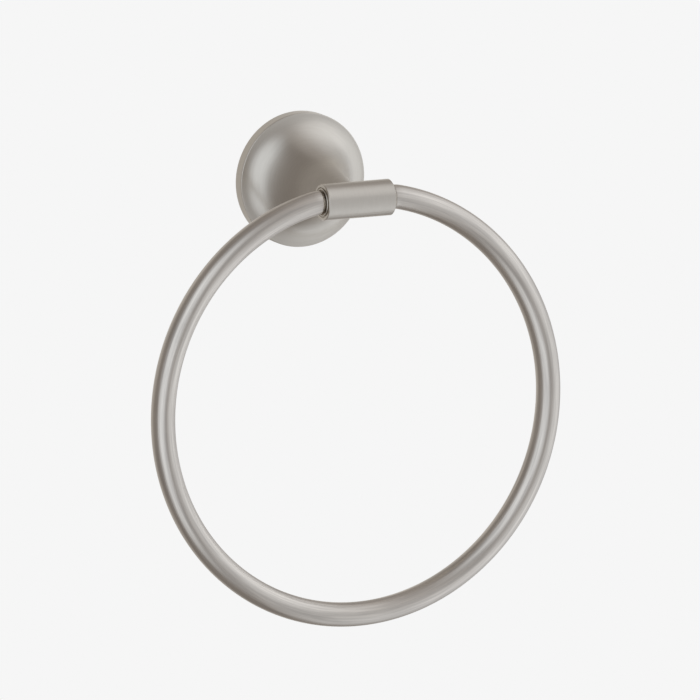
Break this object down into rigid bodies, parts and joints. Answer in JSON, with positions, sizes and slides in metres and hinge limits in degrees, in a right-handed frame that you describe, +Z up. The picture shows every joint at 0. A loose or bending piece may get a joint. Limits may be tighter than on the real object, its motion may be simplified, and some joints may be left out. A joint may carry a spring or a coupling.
{
  "type": "towel ring",
  "caption": "Wall towel ring: a hoop whose ends swing in a short barrel, held out from the wall by a trumpet-shaped post with a round foot and a hidden bracket.",
  "frame": {"origin": "middle of the post's round foot, on the wall plane", "axes": "+Y into the wall, +Z up, +X along the barrel to the right as seen from the room"},
  "size_m": [0.184, 0.0635, 0.2049],
  "materials": {
    "brushed_nickel": "nickel plate on turned brass, brushed round the axis",
    "barrel_nickel": "nickel plate on brass tube, brushed round the axis",
    "ring_nickel": "nickel plate on bent brass tube, satin brushed along the tube",
    "bush_nickel": "turned and nickel plated",
    "bracket_zinc": "die cast, bright zinc",
    "screw_steel": "plain stainless steel"
  },
  "bodies": {
    "post": {"wall_post": "brushed_nickel", "barrel": "barrel_nickel", "bush_left": "bush_nickel", "bush_right": "bush_nickel", "wall_bracket": "bracket_zinc", "grub_screw": "screw_steel"},
    "ring": {"ring": "ring_nickel"}
  },
  "joints": [
    {"name": "ring_swing", "type": "hinge", "parent": "post", "child": "ring", "pos_m": [0, -0.056, 0], "axis": [-1, 0, 0], "range_deg": [-17, 197]}
  ]
}
